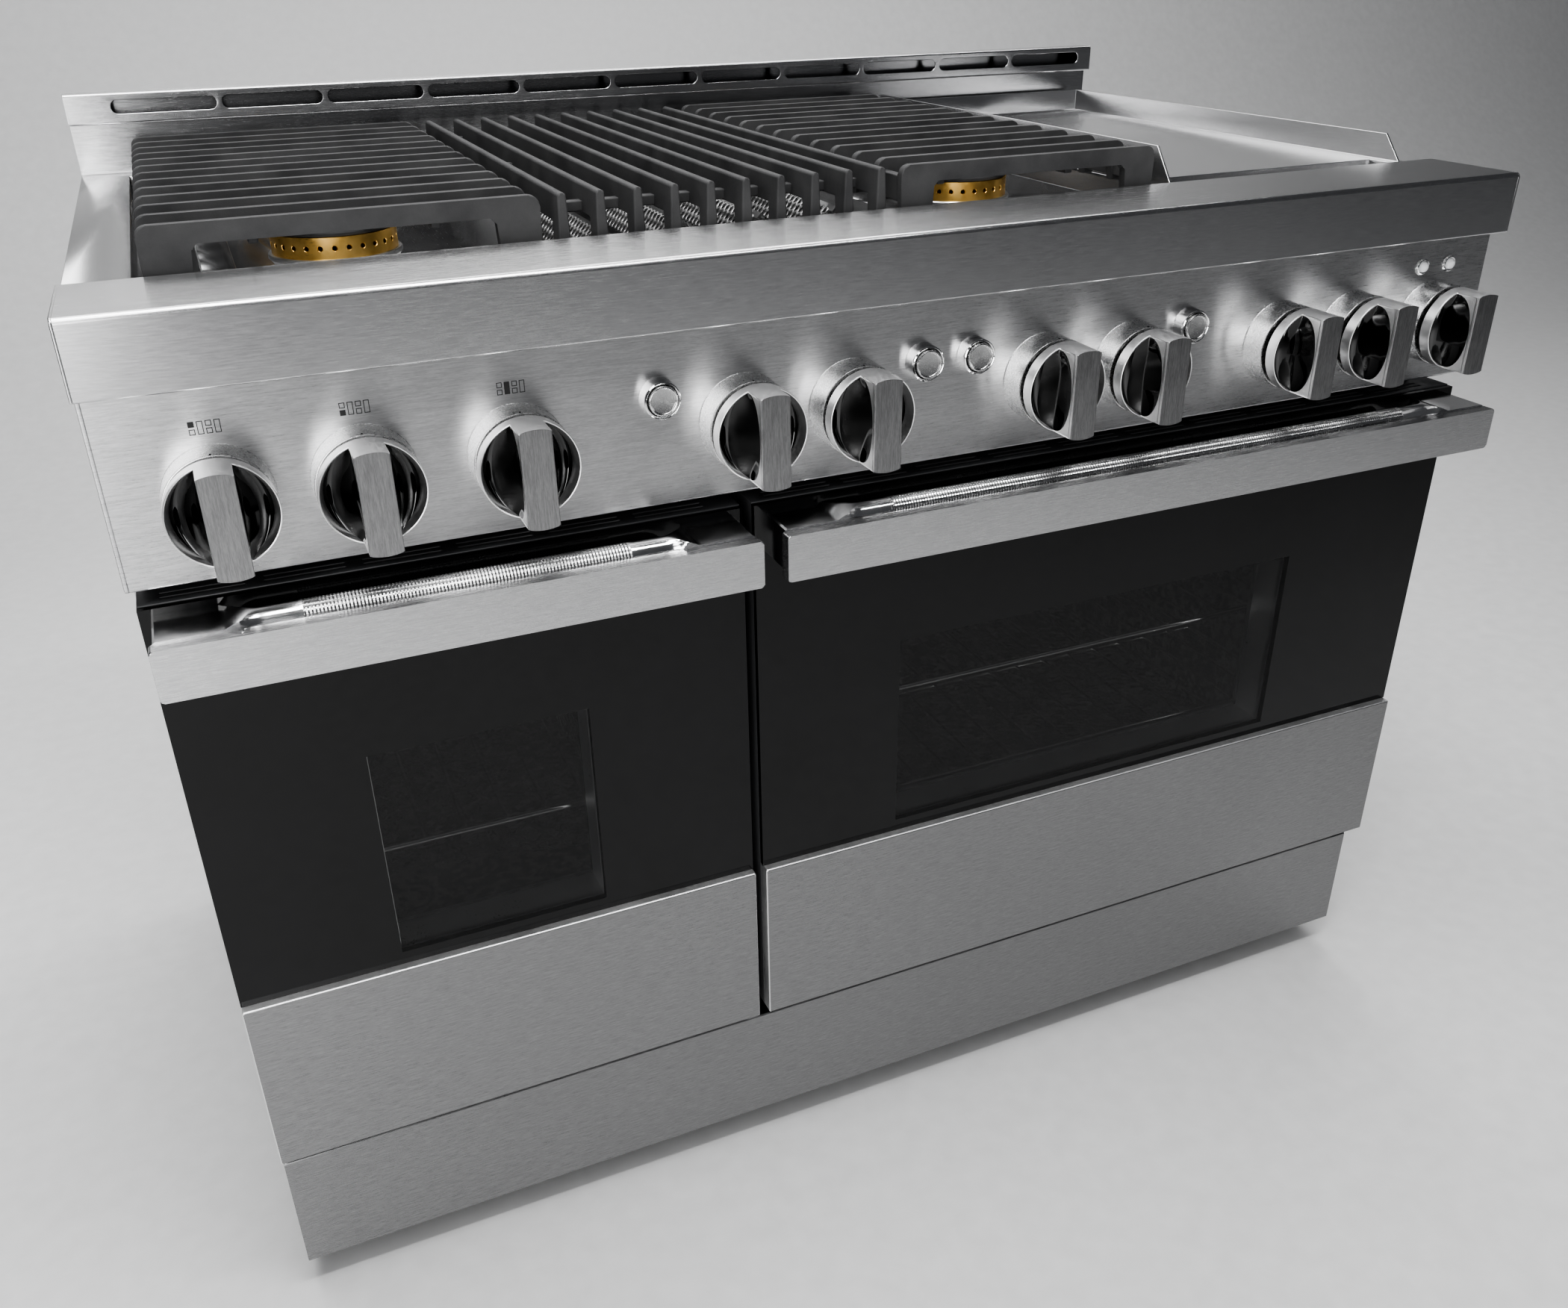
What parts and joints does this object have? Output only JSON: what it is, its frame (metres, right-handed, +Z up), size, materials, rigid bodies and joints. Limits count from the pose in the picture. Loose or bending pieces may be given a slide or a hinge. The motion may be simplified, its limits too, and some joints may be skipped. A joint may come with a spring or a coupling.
{
  "type": "commercial gas range",
  "caption": "Freestanding commercial gas range with two glass-door ovens under open burners, a grill and a griddle, with turning knobs and opening doors.",
  "frame": {"origin": "bottom centre of the bounding box, on the floor under the levelling legs", "axes": "+X to the right of someone facing the doors, +Y towards the wall behind, +Z up"},
  "size_m": [1.216, 0.756, 0.985],
  "materials": {
    "brushed_steel": "fine horizontal brushed grain",
    "sheet_steel": "plain mill finish sheet",
    "black_enamel": "gloss black enamel",
    "cast_iron": "matt sand-cast texture",
    "burner_brass": "machined brass",
    "bare_aluminium": "die-cast, lightly polished",
    "chrome": "polished",
    "pipe_steel": "bare steel tube",
    "door_glass": "black printed toughened glass",
    "lamp_glass": "clear moulded glass",
    "white_ceramic": "glazed ceramic insulator"
  },
  "bodies": {
    "chassis": {"front_rail": "brushed_steel", "control_panel": "brushed_steel", "backguard": "brushed_steel", "kick_plate": "brushed_steel", "base_pan": "sheet_steel", "side_panel_left": "sheet_steel", "side_panel_right": "sheet_steel", "back_panel": "sheet_steel", "cooktop_pan": "sheet_steel", "grill_box": "sheet_steel", "center_divider": "sheet_steel", "hinge_brackets": "sheet_steel", "front_frame": "black_enamel", "oven_liner_left": "black_enamel", "oven_liner_right": "black_enamel", "burner_caps": "cast_iron", "burner_rings": "burner_brass", "valve_bodies": "burner_brass", "burner_bases": "bare_aluminium", "control_collars": "chrome", "gas_manifold": "pipe_steel", "oven_burners": "pipe_steel", "grill_burners": "pipe_steel", "flame_tamers": "pipe_steel", "levelling_legs": "pipe_steel", "oven_lamps": "lamp_glass", "indicator_lights": "lamp_glass", "igniters": "white_ceramic"},
    "door_left": {"door_frame_left": "black_enamel", "door_glass_left": "door_glass", "lower_panel_left": "brushed_steel", "handle_bar_left": "chrome", "handle_plate_left": "brushed_steel"},
    "door_right": {"door_frame_right": "black_enamel", "door_glass_right": "door_glass", "lower_panel_right": "brushed_steel", "handle_bar_right": "chrome", "handle_plate_right": "brushed_steel"},
    "rack_left": {"rack_left": "chrome"},
    "rack_right_upper": {"rack_right_upper": "chrome"},
    "rack_right_lower": {"rack_right_lower": "chrome"},
    "grate_left": {"grate_left": "cast_iron"},
    "grill_grate": {"grill_grate": "cast_iron"},
    "grate_right": {"grate_right": "cast_iron"},
    "griddle": {"griddle": "brushed_steel"},
    "knob_1": {"knob_1": "chrome"},
    "knob_2": {"knob_2": "chrome"},
    "knob_3": {"knob_3": "chrome"},
    "knob_4": {"knob_4": "chrome"},
    "knob_5": {"knob_5": "chrome"},
    "knob_6": {"knob_6": "chrome"},
    "knob_7": {"knob_7": "chrome"},
    "knob_8": {"knob_8": "chrome"},
    "knob_9": {"knob_9": "chrome"},
    "knob_10": {"knob_10": "chrome"},
    "button_1": {"button_1": "chrome"},
    "button_2": {"button_2": "chrome"},
    "button_3": {"button_3": "chrome"},
    "button_4": {"button_4": "chrome"}
  },
  "joints": [
    {"name": "door_left_hinge", "type": "hinge", "parent": "chassis", "child": "door_left", "pos_m": [-0.38, -0.29, 0.206], "axis": [1, 0, 0], "range_deg": [0, 90]},
    {"name": "door_right_hinge", "type": "hinge", "parent": "chassis", "child": "door_right", "pos_m": [0.228, -0.29, 0.206], "axis": [1, 0, 0], "range_deg": [0, 90]},
    {"name": "knob_1_turn", "type": "hinge", "parent": "chassis", "child": "knob_1", "pos_m": [-0.535, -0.352, 0.783], "axis": [0, -1, 0], "range_deg": [0, 210]},
    {"name": "knob_2_turn", "type": "hinge", "parent": "chassis", "child": "knob_2", "pos_m": [-0.439, -0.352, 0.783], "axis": [0, -1, 0], "range_deg": [0, 210]},
    {"name": "knob_3_turn", "type": "hinge", "parent": "chassis", "child": "knob_3", "pos_m": [-0.331, -0.352, 0.783], "axis": [0, -1, 0], "range_deg": [0, 210]},
    {"name": "knob_4_turn", "type": "hinge", "parent": "chassis", "child": "knob_4", "pos_m": [-0.154, -0.352, 0.783], "axis": [0, -1, 0], "range_deg": [0, 210]},
    {"name": "knob_5_turn", "type": "hinge", "parent": "chassis", "child": "knob_5", "pos_m": [-0.062, -0.352, 0.783], "axis": [0, -1, 0], "range_deg": [0, 210]},
    {"name": "knob_6_turn", "type": "hinge", "parent": "chassis", "child": "knob_6", "pos_m": [0.116, -0.352, 0.783], "axis": [0, -1, 0], "range_deg": [0, 210]},
    {"name": "knob_7_turn", "type": "hinge", "parent": "chassis", "child": "knob_7", "pos_m": [0.204, -0.352, 0.783], "axis": [0, -1, 0], "range_deg": [0, 210]},
    {"name": "knob_8_turn", "type": "hinge", "parent": "chassis", "child": "knob_8", "pos_m": [0.365, -0.352, 0.783], "axis": [0, -1, 0], "range_deg": [0, 270]},
    {"name": "knob_9_turn", "type": "hinge", "parent": "chassis", "child": "knob_9", "pos_m": [0.45, -0.352, 0.783], "axis": [0, -1, 0], "range_deg": [0, 270]},
    {"name": "knob_10_turn", "type": "hinge", "parent": "chassis", "child": "knob_10", "pos_m": [0.545, -0.352, 0.783], "axis": [0, -1, 0], "range_deg": [0, 210]},
    {"name": "button_1_push", "type": "slide", "parent": "chassis", "child": "button_1", "axis": [0, 1, 0], "range_m": [0, 0.003], "stiffness_N_per_m": 500, "springref_m": -0.003},
    {"name": "button_2_push", "type": "slide", "parent": "chassis", "child": "button_2", "axis": [0, 1, 0], "range_m": [0, 0.003], "stiffness_N_per_m": 500, "springref_m": -0.003},
    {"name": "button_3_push", "type": "slide", "parent": "chassis", "child": "button_3", "axis": [0, 1, 0], "range_m": [0, 0.003], "stiffness_N_per_m": 500, "springref_m": -0.003},
    {"name": "button_4_push", "type": "slide", "parent": "chassis", "child": "button_4", "axis": [0, 1, 0], "range_m": [0, 0.003], "stiffness_N_per_m": 500, "springref_m": -0.003},
    {"name": "grate_left_lift", "type": "slide", "parent": "chassis", "child": "grate_left", "axis": [0, 0, 1], "range_m": [0, 0.15]},
    {"name": "grill_grate_lift", "type": "slide", "parent": "chassis", "child": "grill_grate", "axis": [0, 0, 1], "range_m": [0, 0.15]},
    {"name": "grate_right_lift", "type": "slide", "parent": "chassis", "child": "grate_right", "axis": [0, 0, 1], "range_m": [0, 0.15]},
    {"name": "griddle_lift", "type": "slide", "parent": "chassis", "child": "griddle", "axis": [0, 0, 1], "range_m": [0, 0.15]},
    {"name": "rack_left_slide", "type": "slide", "parent": "chassis", "child": "rack_left", "axis": [0, -1, 0], "range_m": [0, 0.02]},
    {"name": "rack_right_upper_slide", "type": "slide", "parent": "chassis", "child": "rack_right_upper", "axis": [0, -1, 0], "range_m": [0, 0.02]},
    {"name": "rack_right_lower_slide", "type": "slide", "parent": "chassis", "child": "rack_right_lower", "axis": [0, -1, 0], "range_m": [0, 0.02]}
  ]
}
